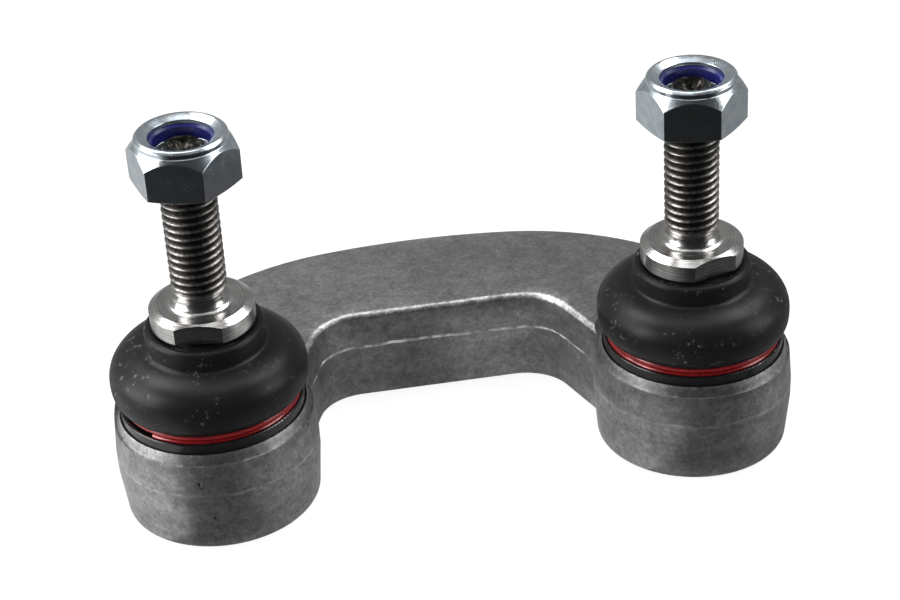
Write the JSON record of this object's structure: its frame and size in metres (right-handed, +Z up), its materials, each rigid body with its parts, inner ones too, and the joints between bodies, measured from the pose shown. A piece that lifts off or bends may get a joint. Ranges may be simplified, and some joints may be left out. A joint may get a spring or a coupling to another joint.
{
  "type": "stabiliser link",
  "caption": "Forged C-shaped stabiliser link with an upright threaded ball joint, rubber boot and lock nut at each end.",
  "frame": {"origin": "centre of the left joint housing's flat base", "axes": "+X to the right joint, +Z up the joint housings, the arm bows away to +Y"},
  "size_m": [0.1294, 0.0751, 0.0766],
  "materials": {
    "forged_alloy": "satin forged, turned at the rims",
    "seat_plastic": "matt",
    "black_ring": "gloss black",
    "stud_steel": "bright turned and rolled",
    "boot_rubber": "satin black",
    "red_wire": "gloss red lacquer",
    "spring_steel": "dark spring steel",
    "zinc_nut": "bright zinc plate",
    "blue_nylon": "semi-gloss"
  },
  "bodies": {
    "link": {"link_body": "forged_alloy", "left_ball_seat": "seat_plastic", "left_closing_ring": "black_ring", "left_boot_clamp_ring": "red_wire", "right_ball_seat": "seat_plastic", "right_closing_ring": "black_ring", "right_boot_clamp_ring": "red_wire"},
    "left_rock": {"left_dust_boot": "boot_rubber"},
    "left_neck": {"left_boot_neck_ring": "spring_steel"},
    "left_stud": {"left_ball_stud": "stud_steel"},
    "left_nut_lock": {"left_nut_insert": "blue_nylon"},
    "left_nut": {"left_lock_nut": "zinc_nut"},
    "right_rock": {"right_dust_boot": "boot_rubber"},
    "right_neck": {"right_boot_neck_ring": "spring_steel"},
    "right_stud": {"right_ball_stud": "stud_steel"},
    "right_nut_lock": {"right_nut_insert": "blue_nylon"},
    "right_nut": {"right_lock_nut": "zinc_nut"}
  },
  "joints": [
    {"name": "left_stud_tilt", "type": "hinge", "parent": "link", "child": "left_rock", "pos_m": [0, 0, 0.0131], "axis": [1, 0, 0], "range_deg": [-20.92, 15.08], "deforming": ["left_dust_boot"]},
    {"name": "left_stud_swing", "type": "hinge", "parent": "left_rock", "child": "left_neck", "pos_m": [0, 0, 0.0131], "axis": [0, 0.9987, 0.0509], "range_deg": [-18.63, 17.37], "deforming": ["left_dust_boot"]},
    {"name": "left_stud_spin", "type": "hinge", "parent": "left_neck", "child": "left_stud", "pos_m": [0, 0, 0.0131], "axis": [0.011, -0.0509, 0.9986], "continuous": true},
    {"name": "left_nut_travel", "type": "slide", "parent": "left_stud", "child": "left_nut_lock", "axis": [0.011, -0.0509, 0.9986], "range_m": [-0.021, 0.0045]},
    {"name": "left_nut_turn", "type": "hinge", "parent": "left_nut_lock", "child": "left_nut", "pos_m": [0, 0, 0.0131], "axis": [0.011, -0.0509, 0.9986], "range_deg": [-5045, 1085]},
    {"name": "right_stud_tilt", "type": "hinge", "parent": "link", "child": "right_rock", "pos_m": [0.0914, 0, 0.0131], "axis": [1, 0, 0], "range_deg": [-20.41, 15.59], "deforming": ["right_dust_boot"]},
    {"name": "right_stud_swing", "type": "hinge", "parent": "right_rock", "child": "right_neck", "pos_m": [0.0914, 0, 0.0131], "axis": [0, 0.9991, 0.0421], "range_deg": [-16.22, 19.78], "deforming": ["right_dust_boot"]},
    {"name": "right_stud_spin", "type": "hinge", "parent": "right_neck", "child": "right_stud", "pos_m": [0.0914, 0, 0.0131], "axis": [-0.0311, -0.042, 0.9986], "continuous": true},
    {"name": "right_nut_travel", "type": "slide", "parent": "right_stud", "child": "right_nut_lock", "axis": [-0.0311, -0.042, 0.9986], "range_m": [-0.021, 0.0045]},
    {"name": "right_nut_turn", "type": "hinge", "parent": "right_nut_lock", "child": "right_nut", "pos_m": [0.0914, 0, 0.0131], "axis": [-0.0311, -0.042, 0.9986], "range_deg": [-5045, 1085]}
  ],
  "couplings": [
    {"joint": "left_nut_turn", "follows": "left_nut_travel", "rad_per_m": 4188.8},
    {"joint": "right_nut_turn", "follows": "right_nut_travel", "rad_per_m": 4188.8}
  ]
}
